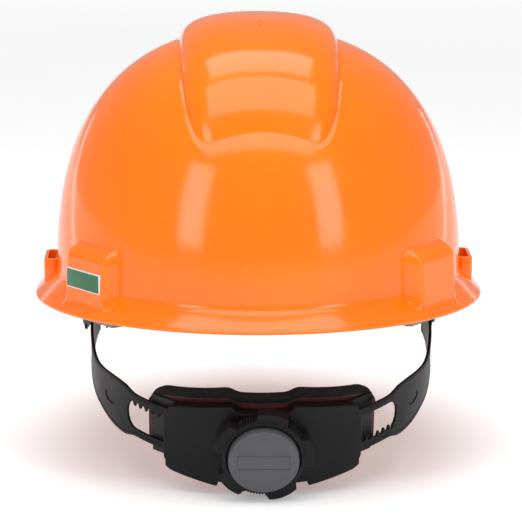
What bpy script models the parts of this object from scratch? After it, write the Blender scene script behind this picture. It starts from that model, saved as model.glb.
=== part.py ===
"""Cap-style safety helmet with a ratchet suspension, in metres, +Z up.

The wearer looks along +Y, so the ratchet is on the -Y side. X = 0 is the plane of symmetry,
and z = 0 is the level of the brim's edge at the sides.
"""
import math

import bmesh
import bpy
from mathutils import Matrix, Vector

# Shell: the dome is a superellipsoid, and the brim flares out from its crease.
DOME_HALF_WIDTH = 0.1065
DOME_REAR = 0.1180
DOME_FRONT = 0.1240
DOME_HEIGHT = 0.1370
REACH_POWER = 2.4
RISE_POWER = 2.7
CREASE_HEIGHT = 0.0125
WALL = 0.0023
BRIM_WIDTH = 0.0110
PEAK_EXTRA = 0.0260
PEAK_DROP = 0.0040
REAR_LIFT = 0.0040
RIDGE_HEIGHT = 0.0084
RIDGE_HALF_WIDTH = 0.0415
RIDGE_TAPER = 0.0060
RIDGE_HALF_LENGTH = 0.1000
SHELL_SEGMENTS = 72
DOME_RINGS = 17
BRIM_RINGS = 3

# Key bosses on the shell, and the keys that plug into them from below.
KEY_AZIMUTH = math.radians(37.5)
BOSS_WIDTH = 0.0390
BOSS_PROUD = 0.0070
BOSS_LOW, BOSS_HIGH = 0.0030, 0.0355
POCKET_WIDTH = 0.0304
POCKET_DEPTH = 0.0046
POCKET_HIGH = 0.0300
LABEL_SIZE = (0.0300, 0.0004, 0.0100)
LABEL_HEIGHT = 0.0190

# Accessory slots at the sides.
SLOT_FORWARD = 0.0040
SLOT_LENGTH = 0.0240
SLOT_GAP = 0.0044
SLOT_WALL = 0.0019
SLOT_HIGH = 0.0175

# Ratchet at the nape: its parts lie on a cylinder about the nape arc's axis, which is tilted.
ARC_RADIUS = 0.0885
NAPE_TILT = math.radians(18)
NAPE_CENTRE = Vector((0.0, -0.1030, -0.0598))
ARM_THICKNESS = 0.0016
ARM_OFFSET = 0.0010
GEAR_TEETH = 10
TOOTH_PITCH = 0.00402
GEAR_PITCH_RADIUS = GEAR_TEETH * TOOTH_PITCH / (2 * math.pi)
ADDENDUM = 0.0009
DEDENDUM = 0.0014
ARM_TEETH_OUT = 0.0750
ARM_SLOT_OUT = 0.0780
ARM_SLOT_IN = -0.0140
ARM_END_IN = -0.0200
ARM_END_OUT = math.radians(104) * ARC_RADIUS
ARM_HALF_IN = 0.0125
ARM_WIDEN = 0.0025
ARM_WIDE_START = 0.0715
ARM_NARROW = 0.0035
ARM_NARROW_START = 0.0850
ARM_RISE = 0.0140
ARM_RISE_START = 72
COVER_IN, COVER_OUT = -0.0021, 0.0043
CHANNEL_HALF, CHANNEL_OUT = 0.0132, 0.0024
SEAT_RADIUS, SEAT_OUT = 0.0200, 0.0049
SHAFT_HOLE = 0.0052
PLATE_HALF_X, PLATE_HALF_Y = 0.0620, 0.0165
PLATE_IN, PLATE_OUT = -0.0044, -0.0024
PAD_IN, PAD_OUT = -0.0085, -0.0047
KNOB_RADIUS = 0.0254
KNOB_VALLEY = 0.0214
KNOB_LOBES = 5
KNOB_PHASE = math.radians(78.5)
CAP_RADIUS = 0.01775

# Headband: the front half of an ellipse whose ends lie outside the nape arms.
BAND_HALF_WIDTH = 0.0918
BAND_FRONT = 0.1225
BAND_THICKNESS = 0.0018
BAND_HALF_HEIGHT = 0.0125
BAND_LOW = -0.0170
BAND_RISE = 0.0070
HANGER_LOW = -0.0180
HANGER_RISE = 0.0115
HANGER_HEIGHT = 0.0120
HANGER_REACH = math.radians(32)
HANGER_OVERLAP = math.radians(10)

# Crown straps.
STRAP_WIDTH = 0.0190
STRAP_THICKNESS = 0.0014
STRAP_TOP = 0.1030

# Frame of everything at the nape: x across, y up along the neck, z out from the head.
NAPE_TURN = Matrix.Rotation(math.pi / 2 + NAPE_TILT, 4, "X")
NAPE_OUT = NAPE_TURN.to_3x3() @ Vector((0, 0, 1))
ARC_CENTRE = NAPE_CENTRE - ARC_RADIUS * NAPE_OUT


# ---------------------------------------------------------------- scene and helpers

def clear_scene():
    for obj in list(bpy.data.objects):
        bpy.data.objects.remove(obj, do_unlink=True)


def add_collection(name):
    collection = bpy.data.collections.new(name)
    bpy.context.scene.collection.children.link(collection)
    return collection


def add_material(name, color, roughness, metallic=0.0):
    material = bpy.data.materials.new(name)
    material.use_nodes = True
    shader = material.node_tree.nodes["Principled BSDF"]
    shader.inputs["Base Color"].default_value = (*color, 1.0)
    shader.inputs["Roughness"].default_value = roughness
    shader.inputs["Metallic"].default_value = metallic
    return material


def add_object(name, mesh, material=None, parent=None, location=(0, 0, 0)):
    obj = bpy.data.objects.new(name, mesh)
    obj.location = location
    obj.parent = parent
    if material is None:
        CUTTERS.objects.link(obj)
        obj.hide_render = True
        obj.display_type = "WIRE"
    else:
        PARTS.objects.link(obj)
        mesh.materials.clear()
        mesh.materials.append(material)
        mesh.shade_smooth()
        mesh.set_sharp_from_angle(angle=math.radians(35))
    return obj


def add_empty(name, location, rotation=(0, 0, 0), parent=None):
    empty = bpy.data.objects.new(name, None)
    empty.location = location
    empty.rotation_euler = rotation
    empty.parent = parent
    PARTS.objects.link(empty)
    return empty


def box_mesh(low, high, bevel=0.0):
    """A box between two corners, with its edges rounded by `bevel`."""
    low, high = Vector(low), Vector(high)
    mesh = bpy.data.meshes.new("box")
    bm = bmesh.new()
    bmesh.ops.create_cube(bm, size=1)
    for vert in bm.verts:
        vert.co = Vector(vert.co[i] * (high[i] - low[i]) + (low[i] + high[i]) / 2 for i in range(3))
    if bevel:
        bmesh.ops.bevel(bm, geom=bm.edges[:], offset=bevel, segments=2, profile=0.5,
                        affect="EDGES")
    bm.to_mesh(mesh)
    bm.free()
    return mesh


def disc_mesh(radius, low, high, segments=32):
    """An upright cylinder between two heights."""
    mesh = bpy.data.meshes.new("disc")
    bm = bmesh.new()
    place = Matrix.Translation((0, 0, (low + high) / 2))
    bmesh.ops.create_cone(bm, cap_ends=True, segments=segments, radius1=radius,
                          radius2=radius, depth=high - low, matrix=place)
    bm.to_mesh(mesh)
    bm.free()
    return mesh


def evaluated_mesh(obj):
    bpy.context.view_layer.update()
    graph = bpy.context.evaluated_depsgraph_get()
    return bpy.data.meshes.new_from_object(obj.evaluated_get(graph))


def flat_mesh(outlines, low, high):
    """A flat plate: outlines of (x, y) points, the first round the edge and the rest holes."""
    curve = bpy.data.curves.new("outline", "CURVE")
    curve.dimensions = "2D"
    curve.fill_mode = "BOTH"
    curve.extrude = (high - low) / 2
    for outline in outlines:
        spline = curve.splines.new("POLY")
        spline.points.add(len(outline) - 1)
        for point, (x, y) in zip(spline.points, outline):
            point.co = (x, y, 0, 1)
        spline.use_cyclic_u = True
    obj = bpy.data.objects.new("outline", curve)
    bpy.context.scene.collection.objects.link(obj)
    mesh = evaluated_mesh(obj)
    bpy.data.objects.remove(obj, do_unlink=True)
    mesh.transform(Matrix.Translation((0, 0, (low + high) / 2)))
    bm = bmesh.new()
    bm.from_mesh(mesh)
    bmesh.ops.remove_doubles(bm, verts=bm.verts, dist=0.00001)
    bmesh.ops.recalc_face_normals(bm, faces=bm.faces)
    bm.to_mesh(mesh)
    bm.free()
    return mesh


def combine(base, joined=(), removed=()):
    """The base mesh with other meshes joined on and cut away, by exact Booleans."""
    obj = add_object("base", base)
    helpers = []
    for operation, tools in (("UNION", joined), ("DIFFERENCE", removed)):
        for tool in tools:
            helper = add_object("tool", tool)
            helpers.append(helper)
            modifier = obj.modifiers.new(operation, "BOOLEAN")
            modifier.operation = operation
            modifier.object = helper
            modifier.solver = "EXACT"
    mesh = evaluated_mesh(obj)
    for helper in [obj] + helpers:
        bpy.data.objects.remove(helper, do_unlink=True)
    return mesh


def bend(mesh, radius, step=0.006, rise=None):
    """Wraps a flat plate round the arc: x becomes arc length, z the height over the radius."""
    bm = bmesh.new()
    bm.from_mesh(mesh)
    low = min(vert.co.x for vert in bm.verts)
    high = max(vert.co.x for vert in bm.verts)
    for index in range(math.floor(low / step) + 1, math.ceil(high / step)):
        bmesh.ops.bisect_plane(bm, geom=bm.verts[:] + bm.edges[:] + bm.faces[:], dist=0.000001,
                               plane_co=(index * step, 0, 0), plane_no=(1, 0, 0))
    for vert in bm.verts:
        angle = vert.co.x / radius
        reach = radius + vert.co.z
        lift = rise(vert.co.x) if rise else 0.0
        vert.co = Vector((reach * math.sin(angle), vert.co.y + lift, reach * math.cos(angle)))
    bmesh.ops.triangulate(bm, faces=bm.faces)
    bm.to_mesh(mesh)
    bm.free()
    return mesh


def thickened(surface, thickness):
    """A closed sheet made from an open surface, with the surface in its middle."""
    obj = add_object("sheet", surface)
    solidify = obj.modifiers.new("Thickness", "SOLIDIFY")
    solidify.thickness = thickness
    solidify.offset = 0
    mesh = evaluated_mesh(obj)
    bpy.data.objects.remove(obj, do_unlink=True)
    bm = bmesh.new()
    bm.from_mesh(mesh)
    bmesh.ops.recalc_face_normals(bm, faces=bm.faces)
    bm.to_mesh(mesh)
    bm.free()
    return mesh


def smooth_step(value):
    value = min(1.0, max(0.0, value))
    return value * value * (3 - 2 * value)


# ---------------------------------------------------------------- shell

def ridge_height(x, y):
    """Height of the crown ridge over the dome: flat on top, steep at its sides and ends."""
    along = abs(y) / RIDGE_HALF_LENGTH
    half_width = RIDGE_HALF_WIDTH - RIDGE_TAPER * along * along
    reach = ((abs(x) / half_width) ** 5 + along ** 5) ** 0.2
    if reach >= 1:
        return 0.0
    return RIDGE_HEIGHT * (1 - 0.4 * along ** 3) * (1 - reach ** 4) ** 0.6


def half_length(azimuth):
    """Half length of the dome's plan: the front is a little longer than the rear."""
    return DOME_FRONT if math.sin(azimuth) > 0 else DOME_REAR


def dome_point(azimuth, polar):
    """Outer surface of the dome: polar angle 0 at the crown, 90 degrees at the brim."""
    length = half_length(azimuth)
    reach = math.sin(polar) ** (2 / REACH_POWER)
    x = DOME_HALF_WIDTH * reach * math.cos(azimuth)
    y = length * reach * math.sin(azimuth)
    level = math.cos(polar) ** (2 / RISE_POWER)
    slope = REACH_POWER * max(reach, 1e-6) ** (REACH_POWER - 2)
    normal = Vector((slope * x / DOME_HALF_WIDTH ** 2, slope * y / length ** 2,
                     RISE_POWER * level ** (RISE_POWER - 1) / DOME_HEIGHT))
    return Vector((x, y, DOME_HEIGHT * level)) + normal.normalized() * ridge_height(x, y)


def brim_point(azimuth, share):
    """Outer surface of the brim, from the crease (share 0) to its edge (share 1)."""
    polar = math.acos((CREASE_HEIGHT / DOME_HEIGHT) ** (RISE_POWER / 2))
    crease = dome_point(azimuth, polar)
    outward = Vector((math.cos(azimuth) / DOME_HALF_WIDTH,
                      math.sin(azimuth) / half_length(azimuth), 0))
    forward = max(0.0, math.sin(azimuth))
    rearward = max(0.0, -math.sin(azimuth))
    width = BRIM_WIDTH + PEAK_EXTRA * forward ** 3
    drop = CREASE_HEIGHT + PEAK_DROP * forward ** 2 - REAR_LIFT * rearward
    return crease + outward.normalized() * width * share - Vector((0, 0, drop * share ** 0.85))


def make_shell_surface():
    """A hemisphere whose rings are moved onto the dome and then onto the brim."""
    rings = DOME_RINGS + BRIM_RINGS
    crease_polar = math.acos((CREASE_HEIGHT / DOME_HEIGHT) ** (RISE_POWER / 2))
    mesh = bpy.data.meshes.new("shell_surface")
    bm = bmesh.new()
    bmesh.ops.create_uvsphere(bm, u_segments=SHELL_SEGMENTS, v_segments=2 * rings, radius=1)
    below = [vert for vert in bm.verts if vert.co.z < -0.001]
    bmesh.ops.delete(bm, geom=below, context="VERTS")
    for vert in bm.verts:
        azimuth = math.atan2(vert.co.y, vert.co.x)
        ring = round(rings * math.acos(min(1.0, max(0.0, vert.co.z))) / (math.pi / 2))
        if ring <= DOME_RINGS:
            vert.co = dome_point(azimuth, crease_polar * ring / DOME_RINGS)
        else:
            vert.co = brim_point(azimuth, (ring - DOME_RINGS) / BRIM_RINGS)
    bm.to_mesh(mesh)
    bm.free()
    return mesh


def make_shell_wall():
    """The surface given its wall thickness, inwards."""
    obj = add_object("shell_wall", make_shell_surface())
    solidify = obj.modifiers.new("Wall", "SOLIDIFY")
    solidify.thickness = WALL
    solidify.offset = -1
    mesh = evaluated_mesh(obj)
    bpy.data.objects.remove(obj, do_unlink=True)
    return mesh


def key_frame(side, end):
    """Frame of one key: x along the wall, y out of it, z up, at the crease outline."""
    azimuth = math.atan2(end * math.sin(KEY_AZIMUTH), side * math.cos(KEY_AZIMUTH))
    length = half_length(azimuth)
    point = Vector((DOME_HALF_WIDTH * math.cos(azimuth), length * math.sin(azimuth), 0))
    outward = Vector((point.x / DOME_HALF_WIDTH ** 2, point.y / length ** 2, 0))
    turn = math.atan2(outward.y, outward.x) - math.pi / 2
    return Matrix.Translation(point) @ Matrix.Rotation(turn, 4, "Z")


def placed(mesh, frame):
    mesh.transform(frame)
    return mesh


CORNERS = {"front_left": (-1, 1), "front_right": (1, 1),
           "rear_left": (-1, -1), "rear_right": (1, -1)}


def make_shell():
    joined = []
    removed = []
    for side, end in CORNERS.values():
        frame = key_frame(side, end)
        half = BOSS_WIDTH / 2
        joined.append(placed(box_mesh((-half, -0.0040, BOSS_LOW), (half, BOSS_PROUD, BOSS_HIGH),
                                      bevel=0.0030), frame))
        half = POCKET_WIDTH / 2
        removed.append(placed(box_mesh((-half, -0.0110, -0.0120),
                                       (half, POCKET_DEPTH, POCKET_HIGH)), frame))
    for side in (-1, 1):
        inner = DOME_HALF_WIDTH + 0.0001
        outer = inner + SLOT_GAP
        ends = (SLOT_FORWARD - SLOT_LENGTH / 2, SLOT_FORWARD + SLOT_LENGTH / 2)
        block = box_mesh((inner - 0.0015, ends[0] - 0.0025, 0.0020),
                         (outer + SLOT_WALL, ends[1] + 0.0025, SLOT_HIGH), bevel=0.0009)
        hole = box_mesh((inner, ends[0], -0.0120), (outer, ends[1], SLOT_HIGH + 0.0100))
        if side < 0:
            turn = Matrix.Rotation(math.pi, 4, "Z")
            turn.translation.y = 2 * SLOT_FORWARD
            block.transform(turn)
            hole.transform(turn)
        joined.append(block)
        removed.append(hole)
    return combine(make_shell_wall(), joined, removed)


def make_label():
    """A thin plate on the flat outer face of the left rear boss."""
    width, thickness, height = LABEL_SIZE
    low = (-width / 2, BOSS_PROUD + 0.0002, LABEL_HEIGHT - height / 2)
    high = (width / 2, BOSS_PROUD + 0.0002 + thickness, LABEL_HEIGHT + height / 2)
    return placed(box_mesh(low, high), key_frame(-1, -1))


# ---------------------------------------------------------------- suspension

def make_key(side, end):
    """A lug: its tongue fills the boss pocket, its body holds a strap and a headband tab."""
    half = 0.0144
    tongue = box_mesh((-half, -0.0015, 0.0020), (half, 0.0041, 0.0275))
    body = box_mesh((-half, -0.0075, -0.0040), (half, -0.0010, 0.0150))
    strap_slot = box_mesh((-0.0104, -0.0056, 0.0045), (0.0104, -0.0034, 0.0200))
    peg_hole = box_mesh((-0.0032, -0.0100, -0.0027), (0.0032, -0.0060, 0.0021))
    return placed(combine(tongue, [body], [strap_slot, peg_hole]), key_frame(side, end))


def make_crown_strap(side, top):
    """A flat woven strap over the head, from a front key to the opposite rear key.

    Its first and last rows stand upright in the slots of the keys.
    """
    ends = (key_frame(side, 1), key_frame(-side, -1))
    start, finish = (frame @ Vector((0, -0.0045, 0.0170)) for frame in ends)
    direction = (finish - start).normalized()
    across = Vector((direction.y, -direction.x, 0))
    tangents = []
    for frame in ends:
        tangent = frame.to_3x3() @ Vector((1, 0, 0))
        tangents.append(tangent if tangent.dot(across) > 0 else -tangent)
    steps = 30
    mesh = bpy.data.meshes.new("strap_surface")
    bm = bmesh.new()
    bmesh.ops.create_grid(bm, x_segments=steps, y_segments=1, size=1)
    for vert in bm.verts:
        row = round((vert.co.x + 1) / 2 * steps)
        angle = math.pi * min(steps - 2, max(0, row - 1)) / (steps - 2)
        reach = math.copysign(abs(math.cos(angle)) ** (2 / 2.3), -math.cos(angle))
        level = abs(math.sin(angle)) ** (2 / 2.3)
        point = (start + finish) / 2 + (finish - start) / 2 * reach
        point.z += (top - point.z) * level
        if row in (0, steps):
            point.z = 0.0055
        nearest = tangents[0] if angle < math.pi / 2 else tangents[1]
        share = smooth_step(min(angle, math.pi - angle) / 0.6)
        width_axis = nearest.lerp(across, share).normalized()
        vert.co = point + width_axis * (vert.co.y * STRAP_WIDTH / 2)
    bm.to_mesh(mesh)
    bm.free()
    return thickened(mesh, STRAP_THICKNESS)


def band_point(angle, inset, height):
    """A point of the headband's ellipse, measured from its front-to-back centre."""
    x = (BAND_HALF_WIDTH - inset) * math.cos(angle)
    reach = BAND_FRONT if math.sin(angle) > 0 else BAND_HALF_WIDTH - 0.0040
    y = ARC_CENTRE.y + (reach - inset) * math.sin(angle)
    return Vector((x, y, height))


def band_level(angle):
    """Height of the band's middle: low where the nape arms meet it, higher at the brow."""
    return BAND_LOW + BAND_RISE * smooth_step(math.sin(angle))


def band_strip(first, last, steps, inset, thickness, low, high):
    """A strip round the head; low and high are functions of the angle, in metres."""
    mesh = bpy.data.meshes.new("band_surface")
    bm = bmesh.new()
    bmesh.ops.create_grid(bm, x_segments=steps, y_segments=1, size=1)
    for vert in bm.verts:
        angle = first + (last - first) * (vert.co.x + 1) / 2
        height = high(angle) if vert.co.y > 0 else low(angle)
        vert.co = band_point(angle, inset, height)
    bm.to_mesh(mesh)
    bm.free()
    return thickened(mesh, thickness)


def hanger_low(angle):
    """Lower edge of the rear hanger strips: it climbs towards the rear keys."""
    return HANGER_LOW + HANGER_RISE * smooth_step((0.15 - math.sin(angle)) / 0.5)


def make_headband():
    """Front and side band, two rear hanger strips and four tabs that snap into the keys."""
    front = band_strip(math.radians(5), math.radians(175), 40, 0, BAND_THICKNESS,
                       lambda angle: band_level(angle) - BAND_HALF_HEIGHT,
                       lambda angle: band_level(angle) + BAND_HALF_HEIGHT)
    joined = []
    for side in (-1, 1):
        bounds = (-HANGER_REACH, HANGER_OVERLAP)
        if side < 0:
            bounds = (math.pi - HANGER_OVERLAP, math.pi + HANGER_REACH)
        joined.append(band_strip(*bounds, 14, 0, BAND_THICKNESS, hanger_low,
                                 lambda angle: hanger_low(angle) + HANGER_HEIGHT))
    for side, end in CORNERS.values():
        frame = key_frame(side, end)
        joined.append(placed(box_mesh((-0.0090, -0.0099, -0.0055), (0.0090, -0.0081, 0.0080)), frame))
        joined.append(placed(box_mesh((-0.0027, -0.0090, -0.0022), (0.0027, -0.0064, 0.0016)), frame))
        inward = -0.0205 if end > 0 else -0.0100
        joined.append(placed(box_mesh((-0.0070, inward, -0.0050), (0.0070, -0.0090, -0.0030)), frame))
    return combine(front, joined)


def make_sweatband():
    """A soft pad inside the brow of the headband."""
    return band_strip(math.radians(24), math.radians(156), 26, 0.0034, 0.0036,
                      lambda angle: band_level(angle) - 0.0150,
                      lambda angle: band_level(angle) + 0.0150)


# ---------------------------------------------------------------- ratchet

def arm_edge(out):
    """Half height of an arm at an arc distance `out` from the knob's axis."""
    widen = smooth_step((out - ARM_WIDE_START) / 0.010)
    narrow = smooth_step((out - ARM_NARROW_START) / 0.030)
    return ARM_HALF_IN + ARM_WIDEN * widen - ARM_NARROW * narrow


def arm_rise(out):
    """Lift of an arm's middle line where it climbs to the headband."""
    return ARM_RISE * smooth_step((math.degrees(abs(out) / ARC_RADIUS) - ARM_RISE_START) / 32)


def rack_line():
    """The toothed edge of an arm's slot, from its outer end inwards, as (out, height)."""
    root = GEAR_PITCH_RADIUS + DEDENDUM
    tip = GEAR_PITCH_RADIUS - ADDENDUM
    count = int(ARM_TEETH_OUT / TOOTH_PITCH)
    points = [(ARM_SLOT_OUT, root)]
    for index in range(count, -4, -1):
        centre = index * TOOTH_PITCH
        points += [(centre + 0.0013, root), (centre + 0.0005, tip),
                   (centre - 0.0005, tip), (centre - 0.0013, root)]
    points.append((ARM_SLOT_IN, root))
    return points


def make_arm(side, toothed_edge):
    """A nape arm: a band with a long slot whose one edge is toothed. side -1 is the left."""
    steps = 26
    outs = [ARM_END_IN + (ARM_END_OUT - ARM_END_IN) * i / steps for i in range(steps + 1)]
    outer = [(side * out, arm_edge(out)) for out in outs]
    outer += [(side * out, -arm_edge(out)) for out in reversed(outs)]
    plain = -(GEAR_PITCH_RADIUS + ADDENDUM + 0.0008)
    slot = [(side * out, toothed_edge * height) for out, height in rack_line()]
    slot += [(side * ARM_SLOT_IN, toothed_edge * plain), (side * ARM_SLOT_OUT, toothed_edge * plain)]
    mesh = flat_mesh([outer, slot], -ARM_THICKNESS / 2, ARM_THICKNESS / 2)
    radius = ARC_RADIUS - ARM_OFFSET if side < 0 else ARC_RADIUS + ARM_OFFSET
    return bend(mesh, radius, rise=arm_rise)


def cover_outline():
    """Outline of the ratchet cover: taller in the middle, with a shallow notch on top."""
    right = [(0.0130, 0.0205), (0.0160, 0.0235), (0.0420, 0.0185), (0.0475, 0.0170),
             (0.0505, 0.0145), (0.0505, -0.0150), (0.0440, -0.0175), (0.0220, -0.0200)]
    return right + [(-x, y) for x, y in reversed(right)]


def make_cover():
    """Outer cover: a shell open at its two ends, with a flat round seat for the knob."""
    body = flat_mesh([cover_outline()], COVER_IN, COVER_OUT)
    seat = disc_mesh(SEAT_RADIUS, 0.0030, 0.0085, 40)
    channel = box_mesh((-0.0700, -CHANNEL_HALF, -0.0100), (0.0700, CHANNEL_HALF, CHANNEL_OUT))
    shaft_hole = disc_mesh(SHAFT_HOLE, -0.0100, 0.0200, 24)
    bent = bend(combine(body, [seat], [channel, shaft_hole]), ARC_RADIUS)
    above_seat = box_mesh((-0.0300, -0.0300, ARC_RADIUS + SEAT_OUT),
                          (0.0300, 0.0300, ARC_RADIUS + 0.0200))
    return combine(bent, removed=[above_seat])


def rectangle(half_x, half_y):
    return [(half_x, half_y), (-half_x, half_y), (-half_x, -half_y), (half_x, -half_y)]


def make_nape_plate():
    """Back plate that closes the housing behind the arms."""
    plate = flat_mesh([rectangle(PLATE_HALF_X, PLATE_HALF_Y)], PLATE_IN, PLATE_OUT)
    return bend(plate, ARC_RADIUS)


def pad_outline():
    right = [(0.0130, 0.0262), (0.0190, 0.0285), (0.0560, 0.0215), (0.0655, 0.0160),
             (0.0680, 0.0100), (0.0680, -0.0140), (0.0620, -0.0180), (0.0200, -0.0215)]
    return right + [(-x, y) for x, y in reversed(right)]


def make_nape_pad():
    """Soft pad between the ratchet and the neck."""
    return bend(flat_mesh([pad_outline()], PAD_IN, PAD_OUT), ARC_RADIUS)


def knob_outline():
    """Five smooth lobes round a circle."""
    count = 80
    points = []
    for index in range(count):
        angle = 2 * math.pi * index / count
        wave = 0.5 + 0.5 * math.cos(KNOB_LOBES * (angle - KNOB_PHASE))
        radius = KNOB_VALLEY + (KNOB_RADIUS - KNOB_VALLEY) * smooth_step((wave - 0.25) / 0.5)
        points.append((radius * math.cos(angle), radius * math.sin(angle)))
    return points


def make_knob():
    """The turning ring: a lobed cup with a recess for its cap and a hollow for the detent."""
    body = flat_mesh([knob_outline()], 0.0056, 0.0126)
    return combine(body, removed=[
        disc_mesh(0.0183, 0.0098, 0.0140, 40),
        disc_mesh(0.0175, 0.0040, 0.0076, 40),
        disc_mesh(0.0048, 0.0060, 0.0088, 24),
        disc_mesh(0.0016, 0.0060, 0.0110, 16)])


def make_knob_cap():
    """The disc in the middle of the knob, hollow over the screw's head."""
    return combine(disc_mesh(CAP_RADIUS, 0.0101, 0.0168, 48),
                   removed=[disc_mesh(0.0050, 0.0090, 0.0125, 24)])


def gear_outline():
    points = []
    outer = GEAR_PITCH_RADIUS + ADDENDUM
    root = GEAR_PITCH_RADIUS - DEDENDUM
    for index in range(GEAR_TEETH):
        centre = 2 * math.pi * index / GEAR_TEETH
        for offset, radius in ((-0.0011 / root, root), (-0.00045 / outer, outer),
                               (0.00045 / outer, outer), (0.0011 / root, root)):
            angle = centre + offset
            points.append((radius * math.cos(angle), radius * math.sin(angle)))
    return points


def make_drive_gear():
    """The pinion between the two racks, with its shaft and the screw hole."""
    teeth = flat_mesh([gear_outline()], -0.0018, 0.0018)
    shaft = disc_mesh(0.0044, 0.0, 0.0085, 24)
    return combine(teeth, [shaft], [disc_mesh(0.0012, 0.0005, 0.0100, 16)])


def make_detent_ring():
    """A sprung click ring under the knob, split by two finger slots."""
    ring = disc_mesh(0.0160, 0.0051, 0.0072, 40)
    bore = disc_mesh(0.0118, 0.0040, 0.0080, 32)
    slots = [placed(box_mesh((0.0100, -0.0005, 0.0040), (0.0152, 0.0005, 0.0080)),
                    Matrix.Rotation(math.pi * turn, 4, "Z")) for turn in (0, 1)]
    return combine(ring, removed=[bore] + slots)


def make_knob_screw():
    """The screw that clamps the knob to the gear's shaft."""
    return combine(disc_mesh(0.0009, 0.0020, 0.0105, 12), [disc_mesh(0.0034, 0.0101, 0.0118, 20)])


# ---------------------------------------------------------------- assembly

def build():
    shell_plastic = add_material("shell", (0.90, 0.17, 0.015), 0.22)
    label_plastic = add_material("rear_label", (0.02, 0.22, 0.09), 0.40)
    black_plastic = add_material("black_plastic", (0.025, 0.025, 0.027), 0.45)
    key_plastic = add_material("key_plastic", (0.30, 0.30, 0.31), 0.50)
    webbing = add_material("webbing", (0.55, 0.55, 0.54), 0.90)
    foam = add_material("pad", (0.10, 0.012, 0.012), 0.90)
    brow_cloth = add_material("brow_cloth", (0.04, 0.04, 0.045), 0.90)
    grey_plastic = add_material("knob_cap", (0.11, 0.11, 0.12), 0.60)
    steel = add_material("screw_steel", (0.60, 0.60, 0.60), 0.30, 1.0)
    acetal = add_material("acetal", (0.75, 0.75, 0.72), 0.40)

    add_object("shell", make_shell(), shell_plastic)
    add_object("rear_label", make_label(), label_plastic)
    for name, (side, end) in CORNERS.items():
        add_object("key_" + name, make_key(side, end), key_plastic)
    add_object("crown_strap_lower", make_crown_strap(-1, STRAP_TOP), webbing)
    add_object("crown_strap_upper", make_crown_strap(1, STRAP_TOP + 0.0018), webbing)
    add_object("headband", make_headband(), black_plastic)
    add_object("sweatband", make_sweatband(), brow_cloth)

    turn = NAPE_TURN.to_euler()
    nape = add_empty("nape_frame", ARC_CENTRE, turn)
    left_hinge = add_empty("left_arm_axis", (0, 0, 0), parent=nape)
    right_hinge = add_empty("right_arm_axis", (0, 0, 0), parent=nape)
    knob_axis = add_empty("knob_axis", (0, 0, ARC_RADIUS), parent=nape)
    add_object("left_arm", make_arm(-1, 1), black_plastic, left_hinge)
    add_object("right_arm", make_arm(1, -1), black_plastic, right_hinge)
    add_object("ratchet_cover", make_cover(), black_plastic, nape)
    add_object("nape_plate", make_nape_plate(), black_plastic, nape)
    add_object("nape_pad", make_nape_pad(), foam, nape)
    add_object("detent_ring", make_detent_ring(), acetal, nape, (0, 0, ARC_RADIUS))
    add_object("drive_gear", make_drive_gear(), acetal, knob_axis)
    add_object("knob", make_knob(), black_plastic, knob_axis)
    add_object("knob_cap", make_knob_cap(), grey_plastic, knob_axis)
    add_object("knob_screw", make_knob_screw(), steel, knob_axis)


clear_scene()
PARTS = add_collection("safety_helmet")
CUTTERS = add_collection("cutters")
build()
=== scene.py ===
"""Looks of a cap-style safety helmet with a ratchet suspension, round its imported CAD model.

Metres, +Z up, the wearer looks along +Y. Lengths that repeat the CAD keep the CAD's values.
"""
import math

import bmesh
import bpy
from mathutils import Matrix, Vector


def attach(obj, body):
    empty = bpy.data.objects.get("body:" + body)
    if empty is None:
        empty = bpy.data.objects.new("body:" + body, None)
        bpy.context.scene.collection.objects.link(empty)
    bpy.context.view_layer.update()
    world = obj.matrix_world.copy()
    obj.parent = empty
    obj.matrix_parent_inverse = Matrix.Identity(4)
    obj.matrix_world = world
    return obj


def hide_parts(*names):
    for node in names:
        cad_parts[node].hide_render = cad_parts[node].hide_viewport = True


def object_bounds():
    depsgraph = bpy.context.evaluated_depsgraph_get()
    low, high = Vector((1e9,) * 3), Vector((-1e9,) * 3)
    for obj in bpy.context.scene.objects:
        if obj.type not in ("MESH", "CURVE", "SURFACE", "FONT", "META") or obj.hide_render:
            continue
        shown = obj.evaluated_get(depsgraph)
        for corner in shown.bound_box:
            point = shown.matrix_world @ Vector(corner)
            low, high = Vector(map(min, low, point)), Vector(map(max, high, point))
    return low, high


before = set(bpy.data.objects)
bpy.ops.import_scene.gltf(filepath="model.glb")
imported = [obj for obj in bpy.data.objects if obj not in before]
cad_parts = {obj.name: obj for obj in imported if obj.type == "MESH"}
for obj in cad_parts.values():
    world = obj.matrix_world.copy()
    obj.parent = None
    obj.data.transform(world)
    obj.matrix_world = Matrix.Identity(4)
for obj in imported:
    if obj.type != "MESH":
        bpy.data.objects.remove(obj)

CAD_BOX = [list(corner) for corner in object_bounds()]

# Shell, as in the CAD, except that the ridge is finer: it ends 4.5 mm sooner and tapers less.
DOME_HALF_WIDTH = 0.1065
DOME_REAR = 0.1180
DOME_FRONT = 0.1240
DOME_HEIGHT = 0.1370
REACH_POWER = 2.4
RISE_POWER = 2.7
CREASE_HEIGHT = 0.0125
WALL = 0.0023
BRIM_WIDTH = 0.0110
PEAK_EXTRA = 0.0260
PEAK_DROP = 0.0040
REAR_LIFT = 0.0040
RIDGE_HEIGHT = 0.0084
RIDGE_HALF_WIDTH = 0.0415
RIDGE_TAPER = 0.0040
RIDGE_HALF_LENGTH = 0.0955
GROOVE_DEPTH = 0.0004
RIDGE_CORNER_POWER = 7

# Rings of the fine shell, from the crown down.
RIDGE_RINGS = 30
SIDE_RINGS = 44
LOW_RINGS = 32
LOW_HEIGHT = 0.0380
BRIM_RINGS = 16
LIP_STEPS = 5
INNER_DOME_RINGS = 26
INNER_BRIM_RINGS = 5

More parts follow.
